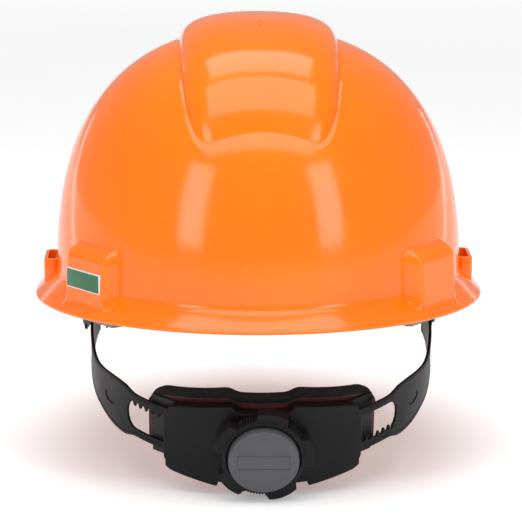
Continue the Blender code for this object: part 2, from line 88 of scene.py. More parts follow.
# Key bosses and side slots.
KEY_AZIMUTH = math.radians(37.5)
BOSS_HALF_FACE = 0.0150
BOSS_HALF_BASE = 0.0195
BOSS_FACE_TOP = 0.0285
BOSS_BASE_TOP = 0.0360
BOSS_PROUD = 0.0070
POCKET_HALF = 0.0152
POCKET_DEPTH = 0.0046
POCKET_HIGH = 0.0300
LABEL_HEIGHT = 0.0190
SLOT_FORWARD = 0.0040
SLOT_LENGTH = 0.0240
SLOT_GAP = 0.0044
SLOT_WALL = 0.0019
SLOT_HIGH = 0.0175

# Ratchet at the nape, in a frame with x across, y up the neck and z out from the head.
ARC_RADIUS = 0.0885
NAPE_TILT = math.radians(18)
NAPE_CENTRE = Vector((0.0, -0.1030, -0.0598))
NAPE_TURN = Matrix.Rotation(math.pi / 2 + NAPE_TILT, 4, "X")
NAPE_OUT = NAPE_TURN.to_3x3() @ Vector((0, 0, 1))
ARC_CENTRE = NAPE_CENTRE - ARC_RADIUS * NAPE_OUT
NAPE_FRAME = Matrix.Translation(ARC_CENTRE) @ NAPE_TURN
KNOB_FRAME = Matrix.Translation(NAPE_CENTRE) @ NAPE_TURN
ARM_THICKNESS = 0.0016
ARM_OFFSET = 0.0010
GEAR_PITCH_RADIUS = 0.0064
TOOTH_PITCH = 0.00402
ADDENDUM = 0.0009
DEDENDUM = 0.0014
ARM_TEETH_OUT = 0.0750
ARM_SLOT_OUT = 0.0780
ARM_SLOT_IN = -0.0140
ARM_END_IN = -0.0200
ARM_END_OUT = math.radians(104) * ARC_RADIUS
ARM_HALF_IN = 0.0125
ARM_WIDEN = 0.0025
ARM_WIDE_START = 0.0715
ARM_NARROW = 0.0035
ARM_NARROW_START = 0.0850
ARM_RISE = 0.0140
ARM_RISE_START = 72
SLOT_END_SWEEP = 0.0055
COVER_IN, COVER_OUT = -0.0021, 0.0043
CHANNEL_HALF, CHANNEL_OUT = 0.0132, 0.0024
SEAT_RADIUS, SEAT_OUT = 0.0200, 0.0049
SHAFT_HOLE = 0.0052
KNOB_RADIUS = 0.0254
KNOB_VALLEY = 0.0214
KNOB_LOBES = 5
KNOB_PHASE = math.radians(78.5)
CAP_RADIUS = 0.01775
CAP_IN, CAP_OUT = 0.0101, 0.0168

# Headband and crown straps.
BAND_HALF_WIDTH = 0.0918
BAND_FRONT = 0.1225
BAND_LOW = -0.0170
BAND_RISE = 0.0070
HANGER_LOW = -0.0180
HANGER_RISE = 0.0115
HANGER_HEIGHT = 0.0120
BAND_HALF_THICKNESS = 0.00067
HANGER_HALF_THICKNESS = 0.00060
STRAP_WIDTH = 0.0190
STRAP_THICKNESS = 0.0014
STRAP_TOP = 0.1030
STRAP_LAP = 0.0018
STRAP_END = 0.035
STRAP_END_DROP = 0.0115
STRAP_POWER = 2.3

# Camera and floor.
VIEW_AZIMUTH = math.radians(-1.4)
VIEW_ELEVATION = math.radians(11)
VIEW_DISTANCE = 1.6
VIEW_WIDTH = 0.2767
VIEW_AIM = Vector((0.0015, 0.0, 0.0140))
WORLD_LEVEL = 0.34


# ---- materials

def start_material(name):
    material = bpy.data.materials.new(name)
    material.use_nodes = True
    return material, material.node_tree, material.node_tree.nodes["Principled BSDF"]


def object_coords(tree):
    """Coordinates fixed to the piece, in metres."""
    return tree.nodes.new("ShaderNodeTexCoord").outputs["Object"]


def sheet_coords(tree):
    """Distances along and across a soft body, in metres, kept in its UV layer."""
    node = tree.nodes.new("ShaderNodeUVMap")
    node.uv_map = "sheet"
    return node.outputs["UV"]


def noise(tree, coords, scale, detail=2.0, roughness=0.5):
    node = tree.nodes.new("ShaderNodeTexNoise")
    node.inputs["Scale"].default_value = scale
    node.inputs["Detail"].default_value = detail
    node.inputs["Roughness"].default_value = roughness
    tree.links.new(coords, node.inputs["Vector"])
    return node.outputs["Fac"]


def ramp(tree, value, stops):
    """A colour ramp with (position, colour) stops."""
    node = tree.nodes.new("ShaderNodeValToRGB")
    elements = node.color_ramp.elements
    while len(elements) < len(stops):
        elements.new(0.5)
    for element, (position, color) in zip(elements, stops):
        element.position = position
        element.color = (*color, 1.0)
    tree.links.new(value, node.inputs["Fac"])
    return node.outputs["Color"]


def spread(tree, value, low, high, from_low=0.3, from_high=0.7):
    """Maps a value from one range to another."""
    node = tree.nodes.new("ShaderNodeMapRange")
    node.inputs["From Min"].default_value = from_low
    node.inputs["From Max"].default_value = from_high
    node.inputs["To Min"].default_value = low
    node.inputs["To Max"].default_value = high
    tree.links.new(value, node.inputs["Value"])
    return node.outputs["Result"]


def blend_colors(tree, factor, first, second, mode="MIX"):
    """Blends two colours; the factor is a number or a socket, and so is each colour."""
    node = tree.nodes.new("ShaderNodeMix")
    node.data_type = "RGBA"
    node.blend_type = mode
    if isinstance(factor, float):
        node.inputs["Factor"].default_value = factor
    else:
        tree.links.new(factor, node.inputs["Factor"])
    for socket, color in ((node.inputs["A"], first), (node.inputs["B"], second)):
        if isinstance(color, tuple):
            socket.default_value = (*color, 1.0)
        else:
            tree.links.new(color, socket)
    return node.outputs["Result"]


def math_node(tree, operation, first, second=None):
    node = tree.nodes.new("ShaderNodeMath")
    node.operation = operation
    for index, value in enumerate((first, second)):
        if value is None:
            continue
        if isinstance(value, (int, float)):
            node.inputs[index].default_value = value
        else:
            tree.links.new(value, node.inputs[index])
    return node.outputs["Value"]


def bump(tree, shader, height, depth, strength=1.0, below=None):
    """Bumps the shader by a height, over the normals of the layer below."""
    node = tree.nodes.new("ShaderNodeBump")
    node.inputs["Distance"].default_value = depth
    node.inputs["Strength"].default_value = strength
    tree.links.new(height, node.inputs["Height"])
    if below is not None:
        tree.links.new(below, node.inputs["Normal"])
    tree.links.new(node.outputs["Normal"], shader.inputs["Normal"])
    return node.outputs["Normal"]


def moulded_plastic(name, dark, light, rough, grain_scale, grain_depth, edge=None, fixed=()):
    """Injection-moulded plastic: faint flow patches, fine grain, paler rubbed edges."""
    material, tree, shader = start_material(name)
    coords = object_coords(tree)
    patches = noise(tree, coords, 16, 3)
    color = ramp(tree, patches, ((0.30, dark), (0.70, light)))
    specks = noise(tree, coords, 700, 2)
    if edge is not None:
        geometry = tree.nodes.new("ShaderNodeNewGeometry")
        rim = spread(tree, geometry.outputs["Pointiness"], 0.0, 1.0, 0.53, 0.62)
        wear = spread(tree, noise(tree, coords, 90, 3), 0.1, 0.9)
        rubbed = math_node(tree, "MULTIPLY", rim, wear)
        color = blend_colors(tree, rubbed, color, edge)
    tree.links.new(color, shader.inputs["Base Color"])
    scuffs = math_node(tree, "ADD", math_node(tree, "MULTIPLY", noise(tree, coords, 45, 4), 0.7),
                       math_node(tree, "MULTIPLY", specks, 0.3))
    tree.links.new(spread(tree, scuffs, rough[0], rough[1]), shader.inputs["Roughness"])
    wave = bump(tree, shader, noise(tree, coords, 55, 1), grain_depth * 2.0, 0.5)
    bump(tree, shader, noise(tree, coords, grain_scale, 3, 0.6), grain_depth, 0.6, wave)
    for socket, value in fixed:
        shader.inputs[socket].default_value = value
    return material


def woven_webbing(name, dark, light, warp, weft):
    """Plain-woven webbing on the sheet's own lengthwise and crosswise distances."""
    material, tree, shader = start_material(name)
    coords = sheet_coords(tree)
    split = tree.nodes.new("ShaderNodeSeparateXYZ")
    tree.links.new(coords, split.inputs["Vector"])
    along = math_node(tree, "SINE", math_node(tree, "MULTIPLY", split.outputs["X"],
                                              2 * math.pi / warp))
    across = math_node(tree, "SINE", math_node(tree, "MULTIPLY", split.outputs["Y"],
                                               2 * math.pi / weft))
    weave = math_node(tree, "MULTIPLY", along, across)
    fuzz = noise(tree, object_coords(tree), 1500, 2)
    height = math_node(tree, "ADD", math_node(tree, "MULTIPLY", weave, 0.5), fuzz)
    thread = ramp(tree, spread(tree, weave, 0.0, 1.0, -1.0, 1.0), ((0.15, dark), (0.85, light)))
    soil = noise(tree, object_coords(tree), 35, 3)
    shade = ramp(tree, soil, ((0.30, (0.80, 0.79, 0.77)), (0.62, (1.0, 1.0, 1.0))))
    tree.links.new(blend_colors(tree, 0.9, thread, shade, "MULTIPLY"), shader.inputs["Base Color"])
    tree.links.new(spread(tree, fuzz, 0.75, 0.95), shader.inputs["Roughness"])
    bump(tree, shader, height, 0.00025, 0.9)
    shader.inputs["Sheen Weight"].default_value = 0.25
    shader.inputs["Specular IOR Level"].default_value = 0.25
    return material


def knitted_cloth(name, dark, light, loop, sheen=0.4):
    """Fine knit over foam: small loops, a soft nap and slow colour change."""
    material, tree, shader = start_material(name)
    coords = sheet_coords(tree)
    cells = tree.nodes.new("ShaderNodeTexVoronoi")
    cells.inputs["Scale"].default_value = 1 / loop
    cells.inputs["Randomness"].default_value = 0.35
    tree.links.new(coords, cells.inputs["Vector"])
    nap = noise(tree, object_coords(tree), 1100, 3)
    slow = noise(tree, object_coords(tree), 60, 3)
    tone = math_node(tree, "ADD", math_node(tree, "MULTIPLY", slow, 0.6),
                     math_node(tree, "MULTIPLY", cells.outputs["Distance"], 0.4))
    tree.links.new(ramp(tree, tone, ((0.30, light), (0.75, dark))), shader.inputs["Base Color"])
    tree.links.new(spread(tree, nap, 0.80, 0.98), shader.inputs["Roughness"])
    height = math_node(tree, "SUBTRACT", math_node(tree, "MULTIPLY", nap, 0.5),
                       cells.outputs["Distance"])
    bump(tree, shader, height, 0.00030, 0.8)
    shader.inputs["Sheen Weight"].default_value = sheen
    shader.inputs["Specular IOR Level"].default_value = 0.2
    return material


def turned_steel(name):
    """Bright steel with fine tool marks."""
    material, tree, shader = start_material(name)
    coords = object_coords(tree)
    streaks = noise(tree, coords, 900, 3)
    tree.links.new(ramp(tree, streaks, ((0.3, (0.42, 0.42, 0.43)), (0.7, (0.68, 0.68, 0.69)))),
                   shader.inputs["Base Color"])
    rough = spread(tree, noise(tree, coords, 250, 3), 0.22, 0.42)
    tree.links.new(rough, shader.inputs["Roughness"])
    bump(tree, shader, streaks, 0.00003, 0.6)
    shader.inputs["Metallic"].default_value = 1.0
    return material


def plain_floor(name):
    """White floor that glows more with the distance, so that it fades into the backdrop."""
    material, tree, shader = start_material(name)
    coords = object_coords(tree)
    tone = noise(tree, coords, 3, 3)
    tree.links.new(ramp(tree, tone, ((0.3, (0.86, 0.86, 0.86)), (0.7, (0.89, 0.89, 0.89)))),
                   shader.inputs["Base Color"])
    shader.inputs["Roughness"].default_value = 0.8
    shader.inputs["Specular IOR Level"].default_value = 0.1
    distance = tree.nodes.new("ShaderNodeVectorMath")
    distance.operation = "LENGTH"
    tree.links.new(coords, distance.inputs[0])
    glow = spread(tree, distance.outputs["Value"], 0.0, 1.0, 0.3, 3.0)
    tree.links.new(ramp(tree, glow, ((0.0, (0.26, 0.26, 0.26)), (1.0, (0.70, 0.70, 0.70)))),
                   shader.inputs["Emission Color"])
    shader.inputs["Emission Strength"].default_value = 1.0
    return material


# ---- mesh helpers

def smooth_step(value):
    value = min(1.0, max(0.0, value))
    return value * value * (3 - 2 * value)


def link(name, mesh):
    """A new object with this data, in the scene."""
    obj = bpy.data.objects.new(name, mesh)
    bpy.context.scene.collection.objects.link(obj)
    return obj


def baked_mesh(obj):
    """The object's mesh with its modifiers applied; the object itself is removed."""
    bpy.context.view_layer.update()
    graph = bpy.context.evaluated_depsgraph_get()
    mesh = bpy.data.meshes.new_from_object(obj.evaluated_get(graph))
    bpy.data.objects.remove(obj, do_unlink=True)
    return mesh


def finished(bm, name):
    """A new mesh with this name from a bmesh, which ends here."""
    mesh = bpy.data.meshes.new(name)
    bm.to_mesh(mesh)
    bm.free()
    return mesh


def placed(mesh, place):
    """The mesh, moved by a matrix."""
    mesh.transform(place)
    return mesh


def piece(name, mesh, materials, body, nodes=(), sharp=32, crisp=False):
    """A visible piece that rides on a body and stands for some CAD nodes.

    crisp keeps large flat faces flat beside their rounded edges.
    """
    for material in materials:
        mesh.materials.append(material)
    mesh.shade_smooth()
    mesh.set_sharp_from_angle(angle=math.radians(sharp))
    obj = link(name, mesh)
    if crisp:
        weighted = obj.modifiers.new("Normals", "WEIGHTED_NORMAL")
        weighted.keep_sharp = True
    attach(obj, body)
    if nodes:
        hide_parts(*nodes)
    return obj


def turned(points, clockwise=False):
    """The same closed outline, in the stated direction."""
    area = sum(a[0] * b[1] - b[0] * a[1] for a, b in zip(points, points[1:] + points[:1]))
    return points[::-1] if (area < 0) != clockwise else points


def plate(outlines, low, high, bevel=0.0, steps=2):
    """A plate with rounded edges: the first outline runs round it, the rest are holes."""
    curve = bpy.data.curves.new("outline", "CURVE")
    curve.dimensions = "2D"
    curve.fill_mode = "BOTH"
    curve.extrude = (high - low) / 2 - bevel
    curve.bevel_depth = bevel
    curve.bevel_resolution = steps
    curve.offset = -bevel
    for index, outline in enumerate(outlines):
        points = turned(outline, clockwise=index > 0)
        spline = curve.splines.new("POLY")
        spline.points.add(len(points) - 1)
        for point, (x, y) in zip(spline.points, points):
            point.co = (x, y, 0, 1)
        spline.use_cyclic_u = True
    mesh = baked_mesh(link("outline", curve))
    mesh.transform(Matrix.Translation((0, 0, (low + high) / 2)))
    bm = bmesh.new()
    bm.from_mesh(mesh)
    bmesh.ops.remove_doubles(bm, verts=bm.verts, dist=0.000004)
    bmesh.ops.recalc_face_normals(bm, faces=bm.faces)
    bm.to_mesh(mesh)
    bm.free()
    return mesh


def join(meshes):
    """One mesh with all the given ones in it, unwelded."""
    bm = bmesh.new()
    for mesh in meshes:
        bm.from_mesh(mesh)
    return finished(bm, "joined")


def combine(base, joined=(), removed=()):
    """The base mesh with others joined on and cut away, by exact Booleans."""
    obj = link("base", base)
    helpers = []
    for operation, tools in (("UNION", joined), ("DIFFERENCE", removed)):
        for tool in tools:
            helper = link("tool", tool)
            helpers.append(helper)
            modifier = obj.modifiers.new(operation, "BOOLEAN")
            modifier.operation = operation
            modifier.object = helper
            modifier.solver = "EXACT"
    mesh = baked_mesh(obj)
    for helper in helpers:
        bpy.data.objects.remove(helper, do_unlink=True)
    return mesh


def bend(mesh, radius, step=0.002, rise=None):
    """Wraps a flat plate round the arc: x becomes arc length, z the height over the radius."""
    bm = bmesh.new()
    bm.from_mesh(mesh)
    low = min(vert.co.x for vert in bm.verts)
    high = max(vert.co.x for vert in bm.verts)
    for index in range(math.floor(low / step) + 1, math.ceil(high / step)):
        bmesh.ops.bisect_plane(bm, geom=bm.verts[:] + bm.edges[:] + bm.faces[:], dist=0.000001,
                               plane_co=(index * step, 0, 0), plane_no=(1, 0, 0))
    for vert in bm.verts:
        angle = vert.co.x / radius
        reach = radius + vert.co.z
        lift = rise(vert.co.x) if rise else 0.0
        vert.co = Vector((reach * math.sin(angle), vert.co.y + lift, reach * math.cos(angle)))
    bmesh.ops.triangulate(bm, faces=bm.faces)
    bm.to_mesh(mesh)
    bm.free()
    return mesh


def rounded_box(low, high, radius, steps=3):
    """A box between two corners, with rounded edges."""
    low, high = Vector(low), Vector(high)
    bm = bmesh.new()
    bmesh.ops.create_cube(bm, size=1)
    for vert in bm.verts:
        vert.co = Vector(vert.co[i] * (high[i] - low[i]) + (low[i] + high[i]) / 2
                         for i in range(3))
    bmesh.ops.bevel(bm, geom=bm.edges[:], offset=radius, segments=steps, profile=0.5,
                    affect="EDGES")
    return finished(bm, "box")


def circle(radius, count=64, centre=(0.0, 0.0)):
    return [(centre[0] + radius * math.cos(2 * math.pi * i / count),
             centre[1] + radius * math.sin(2 * math.pi * i / count)) for i in range(count)]


def rounded_outline(x0, x1, y0, y1, radius, steps=6):
    """A rectangle with round corners."""
    points = []
    corners = ((x1 - radius, y1 - radius, 0), (x0 + radius, y1 - radius, 1),
               (x0 + radius, y0 + radius, 2), (x1 - radius, y0 + radius, 3))
    for cx, cy, quarter in corners:
        for index in range(steps + 1):
            angle = math.pi / 2 * (quarter + index / steps)
            points.append((cx + radius * math.cos(angle), cy + radius * math.sin(angle)))
    return points


def eased_outline(points, radius, steps=4):
    """The same outline with each corner rounded by a short curve."""
    eased = []
    count = len(points)
    for index in range(count):
        before, here, after = (Vector(points[(index + k) % count]) for k in (-1, 0, 1))
        reach_in = min(radius, (before - here).length * 0.45)
        reach_out = min(radius, (after - here).length * 0.45)
        start = here + (before - here).normalized() * reach_in
        end = here + (after - here).normalized() * reach_out
        for step in range(steps + 1):
            t = step / steps
            point = start * (1 - t) ** 2 + here * 2 * t * (1 - t) + end * t * t
            eased.append((point.x, point.y))
    return eased


def table_value(table, x):
    """Straight-line interpolation in a short table of (x, value)."""
    for (x0, v0), (x1, v1) in zip(table, table[1:]):
        if x <= x1:
            share = min(1.0, max(0.0, (x - x0) / (x1 - x0)))
            return v0 + (v1 - v0) * share
    return table[-1][1]


def sheet_solid(columns, rows, surface, pick=None):
    """A closed soft body from a grid: surface(s, t) gives (front, back, (along, across)).

    s and t run from 0 to 1. pick(s, t, front) gives a face's material index.
    """
    bm = bmesh.new()
    uv_layer = bm.loops.layers.uv.new("sheet")
    coords = {}
    grids = ([], [])
    for i in range(columns + 1):
        lines = ([], [])
        for j in range(rows + 1):
            front, back, distance = surface(i / columns, j / rows)
            for line, point in zip(lines, (front, back)):
                vert = bm.verts.new(point)
                coords[vert] = distance
                line.append(vert)
        grids[0].append(lines[0])
        grids[1].append(lines[1])

    def add_face(verts, index=0):
        face = bm.faces.new(verts)
        face.material_index = index
        for loop in face.loops:
            loop[uv_layer].uv = coords[loop.vert]

    for i in range(columns):
        for j in range(rows):
            middle = ((i + 0.5) / columns, (j + 0.5) / rows)
            for side, grid in enumerate(grids):
                corners = [grid[i][j], grid[i + 1][j], grid[i + 1][j + 1], grid[i][j + 1]]
                add_face(corners, pick(*middle, side == 0) if pick else 0)
    front, back = grids
    edge_index = pick(0.5, 1.0, False) if pick else 0
    for i in range(columns):
        for j in (0, rows):
            add_face([front[i][j], front[i + 1][j], back[i + 1][j], back[i][j]], edge_index)
    for j in range(rows):
        for i in (0, columns):
            add_face([front[i][j], front[i][j + 1], back[i][j + 1], back[i][j]], edge_index)
    bmesh.ops.recalc_face_normals(bm, faces=bm.faces)
    return finished(bm, "sheet_solid")


# ---- shell

def ridge_reach(x, y):
    """0 on the crown and 1 on the ridge's foot, with the shares across and along it."""
    along = abs(y) / RIDGE_HALF_LENGTH
    across = abs(x) / (RIDGE_HALF_WIDTH - RIDGE_TAPER * along * along)
    power = RIDGE_CORNER_POWER
    return (across ** power + along ** power) ** (1 / power), across, along


def ridge_height(x, y):
    """Height of the crown ridge over the dome, with a fine groove round its foot."""
    reach, across, along = ridge_reach(x, y)
    groove = GROOVE_DEPTH * math.exp(-((reach - 1.004) / 0.016) ** 2)
    if reach >= 1:
        return -groove
    side = (1 - across ** 5) ** 0.65
    end = 1 - along ** RIDGE_CORNER_POWER
    return RIDGE_HEIGHT * (1 - 0.35 * along ** 3) * side * end * (1 - reach ** 24) - groove


def half_length(azimuth):
    """Half length of the dome at z = 0 on this side, front or rear."""
    return DOME_FRONT if math.sin(azimuth) > 0 else DOME_REAR


def dome_point(azimuth, reach, height_of=ridge_height, extra=0.0):
    """A point of the dome and the dome's normal; reach is 0 at the crown and 1 at z = 0."""
    length = half_length(azimuth)
    x = DOME_HALF_WIDTH * reach * math.cos(azimuth)
    y = length * reach * math.sin(azimuth)
    level = max(0.0, 1 - reach ** REACH_POWER) ** (1 / RISE_POWER)
    slope = REACH_POWER * max(reach, 1e-6) ** (REACH_POWER - 2)
    normal = Vector((slope * x / DOME_HALF_WIDTH ** 2, slope * y / length ** 2,
                     RISE_POWER * level ** (RISE_POWER - 1) / DOME_HEIGHT)).normalized()
    return Vector((x, y, DOME_HEIGHT * level)) + normal * (height_of(x, y) + extra)


def reach_at(height):
    """The reach at which the dome is this high."""
    return (1 - (height / DOME_HEIGHT) ** RISE_POWER) ** (1 / REACH_POWER)


CREASE_REACH = reach_at(CREASE_HEIGHT)


def ridge_edge(azimuth):
    """The reach at which the ridge's foot crosses this azimuth."""
    low, high = 0.05, 1.0
    length = half_length(azimuth)
    for _ in range(40):
        middle = (low + high) / 2
        inside = ridge_reach(DOME_HALF_WIDTH * middle * math.cos(azimuth),
                             length * middle * math.sin(azimuth))[0] < 1
        low, high = (middle, high) if inside else (low, middle)
    return low


def brim_point(azimuth, share, extra=0.0):
    """A point of the brim, 0 at the crease to 1 at the edge, with its normal and outward."""
    crease = dome_point(azimuth, CREASE_REACH, extra=extra)
    outward = Vector((math.cos(azimuth) / DOME_HALF_WIDTH,
                      math.sin(azimuth) / half_length(azimuth), 0)).normalized()
    forward = max(0.0, math.sin(azimuth))
    rearward = max(0.0, -math.sin(azimuth))
    width = BRIM_WIDTH + PEAK_EXTRA * forward ** 3
    drop = CREASE_HEIGHT + PEAK_DROP * forward ** 2 - REAR_LIFT * rearward
    fall = drop * share ** 0.85
    steep = drop * 0.85 * max(share, 0.02) ** -0.15
    normal = (outward * steep + Vector((0, 0, width))).normalized()
    flat = Vector((crease.x, crease.y, CREASE_HEIGHT)) + outward * width * share
    lift = normal * extra * smooth_step(share / 0.25)
    return flat - Vector((0, 0, fall)) + lift, normal, outward


def key_frame(side, end):
    """Frame of one key: x along the wall, y out of it, z up."""
    azimuth = math.atan2(end * math.sin(KEY_AZIMUTH), side * math.cos(KEY_AZIMUTH))
    length = half_length(azimuth)
    point = Vector((DOME_HALF_WIDTH * math.cos(azimuth), length * math.sin(azimuth), 0))
    outward = Vector((point.x / DOME_HALF_WIDTH ** 2, point.y / length ** 2, 0))
    turn = math.atan2(outward.y, outward.x) - math.pi / 2
    return Matrix.Translation(point) @ Matrix.Rotation(turn, 4, "Z")


CORNERS = {"front_left": (-1, 1), "front_right": (1, 1),
           "rear_left": (-1, -1), "rear_right": (1, -1)}
KEY_FRAMES = [(key_frame(*corner), key_frame(*corner).inverted()) for corner in CORNERS.values()]


def with_bosses(point):
    """Moves a point of the outer surface out onto a boss, where it lies in one."""
    for place, inverse in KEY_FRAMES:
        local = inverse @ point
        if abs(local.x) > BOSS_HALF_BASE or local.z > BOSS_BASE_TOP or local.y < -0.03:
            continue
        side = max(0.0, abs(local.x) - BOSS_HALF_FACE) / (BOSS_HALF_BASE - BOSS_HALF_FACE)
        top = max(0.0, local.z - BOSS_FACE_TOP) / (BOSS_BASE_TOP - BOSS_FACE_TOP)
        distance = math.hypot(side, top)
        if distance >= 1:
            continue
        share = (1 - distance ** 2.2) ** 0.85
        gap = BOSS_PROUD - 0.0012 * smooth_step(local.z / 0.034) - local.y
        out = 0.5 * (gap + math.sqrt(gap * gap + 0.0016 ** 2))
        return place @ Vector((local.x, local.y + out * share, local.z))
    return point


def shell_azimuths():
    """Azimuths of the fine shell's columns, closer together at the sides of the bosses."""
    values = []
    angle = 0.0
    while angle < 360.0 - 0.2:
        values.append(math.radians(angle))
        off = abs(abs((angle % 180) - 90) - 52.5)
        angle += 0.4 if 6.8 < off < 10.4 else 1.0
    return values


def outer_column(azimuth):
    """Outer surface points down one azimuth, from just off the crown to the brim's edge."""
    edge = ridge_edge(azimuth)
    low = reach_at(LOW_HEIGHT)
    edge = min(edge, low - 0.01)
    reaches = [edge * (1 - (1 - i / RIDGE_RINGS) ** 1.7) for i in range(1, RIDGE_RINGS + 1)]
    reaches += [edge + (low - edge) * (i / SIDE_RINGS) ** 1.15 for i in range(1, SIDE_RINGS + 1)]
    points = [dome_point(azimuth, reach) for reach in reaches]
    for i in range(1, LOW_RINGS + 1):
        height = LOW_HEIGHT + (CREASE_HEIGHT - LOW_HEIGHT) * i / LOW_RINGS
        points.append(dome_point(azimuth, reach_at(height)))
    crease = len(points) - 1
    points += [brim_point(azimuth, i / BRIM_RINGS)[0] for i in range(1, BRIM_RINGS + 1)]
    for _ in range(3):
        eased = {i: (points[i - 1] + points[i] * 2 + points[i + 1]) / 4
                 for i in range(crease - 2, crease + 3)}
        for i, point in eased.items():
            points[i] = point
    points = [with_bosses(point) for point in points]
    edge_point, normal, outward = brim_point(azimuth, 1.0)
    middle = edge_point - normal * WALL / 2
    along = (outward - normal * outward.dot(normal)).normalized()
    for i in range(1, LIP_STEPS):
        angle = math.pi * i / LIP_STEPS
        points.append(middle + (normal * math.cos(angle) + along * math.sin(angle)) * WALL / 2)
    return points


def inner_ridge(x, y):
    """The hollow under the ridge, a little smaller than the ridge."""
    return max(0.0, ridge_height(x * 1.07, y * 1.035))


def inner_column(azimuth):
    """Inner surface points, from the brim's edge up to just off the crown."""
    points = [brim_point(azimuth, i / INNER_BRIM_RINGS, -WALL)[0]
              for i in range(INNER_BRIM_RINGS, 0, -1)]
    for i in range(INNER_DOME_RINGS, 0, -1):
        reach = CREASE_REACH * math.sin(math.pi / 2 * i / INNER_DOME_RINGS)
        points.append(dome_point(azimuth, reach, inner_ridge, -WALL))
    return points


def make_shell_wall():
    """Fine closed wall: the outer surface, the rounded lip and the inner surface."""
    bm = bmesh.new()
    columns = []
    for azimuth in shell_azimuths():
        points = outer_column(azimuth) + inner_column(azimuth)
        columns.append([bm.verts.new(point) for point in points])
    crown = bm.verts.new(dome_point(0, 0.0))
    inner_crown = bm.verts.new(dome_point(0, 0.0, inner_ridge, -WALL))
    count = len(columns)
    for index in range(count):
        here = columns[index]
        beside = columns[(index + 1) % count]
        bm.faces.new((crown, here[0], beside[0]))
        bm.faces.new((inner_crown, beside[-1], here[-1]))
        for ring in range(len(here) - 1):
            bm.faces.new((here[ring], here[ring + 1], beside[ring + 1], beside[ring]))
    bmesh.ops.recalc_face_normals(bm, faces=bm.faces)
    return finished(bm, "shell_wall")


def make_shell():
    """Shell with key pockets, side slots, gate mark and moulding dimple."""
    removed = []
    joined = []
    for place, _ in KEY_FRAMES:
        pocket = rounded_box((-POCKET_HALF, -0.0110, -0.0120),
                             (POCKET_HALF, POCKET_DEPTH, POCKET_HIGH), 0.0012)
        removed.append(placed(pocket, place))
    ends = (SLOT_FORWARD - SLOT_LENGTH / 2, SLOT_FORWARD + SLOT_LENGTH / 2)
    for side in (-1, 1):
        inner = DOME_HALF_WIDTH + 0.0001
        outer = inner + SLOT_GAP
        xs = sorted((side * (inner - 0.0015), side * (outer + SLOT_WALL)))
        joined.append(plate([rounded_outline(xs[0], xs[1], ends[0] - 0.0025, ends[1] + 0.0025,
                                             0.0030)], 0.0020, SLOT_HIGH, 0.0006))
        xs = sorted((side * inner, side * outer))
        removed.append(plate([rounded_outline(xs[0], xs[1], ends[0], ends[1], 0.0020)],
                             -0.0120, SLOT_HIGH + 0.0100))
    gate = plate([[(1.5 * x, 0.8 * y) for x, y in circle(0.0010, 24)]], -0.0010, 0.0010, 0.0003)
    joined.append(placed(gate, Matrix.Translation((0.0006, -0.0300, 0.14272))))
    dimple = plate([circle(0.0014, 24)], -0.0010, 0.0010, 0.0003)
    removed.append(placed(dimple, Matrix.Translation((0.0002, -0.0250, 0.14475))))
    return combine(make_shell_wall(), [join(joined)], [join(removed)])


def make_label(materials):
    """A plate with a pale border on the left rear boss; it carries no lettering."""
    place = key_frame(-1, -1)
    turn = Matrix.Rotation(math.pi / 2, 4, "X") @ Matrix.Rotation(math.pi, 4, "Y")
    place = place @ Matrix.Translation((0, 0, LABEL_HEIGHT)) @ turn
    border = plate([rounded_outline(-0.0150, 0.0150, -0.0050, 0.0050, 0.0006)],
                   BOSS_PROUD - 0.0009, BOSS_PROUD + 0.0001, 0.00008)
    field = plate([rounded_outline(-0.0144, 0.0144, -0.0044, 0.0044, 0.0004)],
                  BOSS_PROUD - 0.0003, BOSS_PROUD + 0.0003, 0.00008)
    for polygon in field.polygons:
        polygon.material_index = 1
    piece("rear_label_plate", placed(join([border, field]), place), materials, "helmet",
          ["rear_label"])


# ---- suspension

def strap_path(side, top):
    """Centre line and width axis of a crown strap, as a function of a share from 0 to 1."""
    ends = (key_frame(side, 1), key_frame(-side, -1))
    start, finish = (place @ Vector((0, -0.0045, 0.0170)) for place in ends)
    direction = (finish - start).normalized()
    across = Vector((direction.y, -direction.x, 0))
    tangents = []
    for place in ends:
        tangent = place.to_3x3() @ Vector((1, 0, 0))
        tangents.append(tangent if tangent.dot(across) > 0 else -tangent)

    def at(share):
        turn = min(1.0, max(0.0, (share - STRAP_END) / (1 - 2 * STRAP_END)))
        angle = math.pi * turn
        reach = math.copysign(abs(math.cos(angle)) ** (2 / STRAP_POWER), -math.cos(angle))
        level = abs(math.sin(angle)) ** (2 / STRAP_POWER)
        point = (start + finish) / 2 + (finish - start) / 2 * reach
        point.z += (top - point.z) * level
        point.z -= STRAP_END_DROP * (1 - min(share, 1 - share, STRAP_END) / STRAP_END)
        nearest = tangents[0] if angle < math.pi / 2 else tangents[1]
        width_axis = nearest.lerp(across, smooth_step(min(angle, math.pi - angle) / 0.6))
        return point, width_axis.normalized()
    return at


def make_strap(name, side, top, material):
    """A woven strap over the head, from one front key to the rear key across from it."""
    at = strap_path(side, top)
    length = 0.42

    def surface(s, t):
        point, width_axis = at(s)
        ahead = at(min(1.0, s + 0.004))[0] - at(max(0.0, s - 0.004))[0]
        normal = ahead.cross(width_axis).normalized()
        if normal.z < 0:
            normal = -normal
        offset = (t - 0.5) * STRAP_WIDTH
        thin = STRAP_THICKNESS / 2 * (1 - 0.45 * abs(2 * t - 1) ** 6)
        middle = point + width_axis * offset
        return middle + normal * thin, middle - normal * thin, (s * length, t * STRAP_WIDTH)
    node = "crown_strap_" + name
    piece("webbing_" + name, sheet_solid(150, 12, surface), [material], "helmet",
          [node], sharp=60)


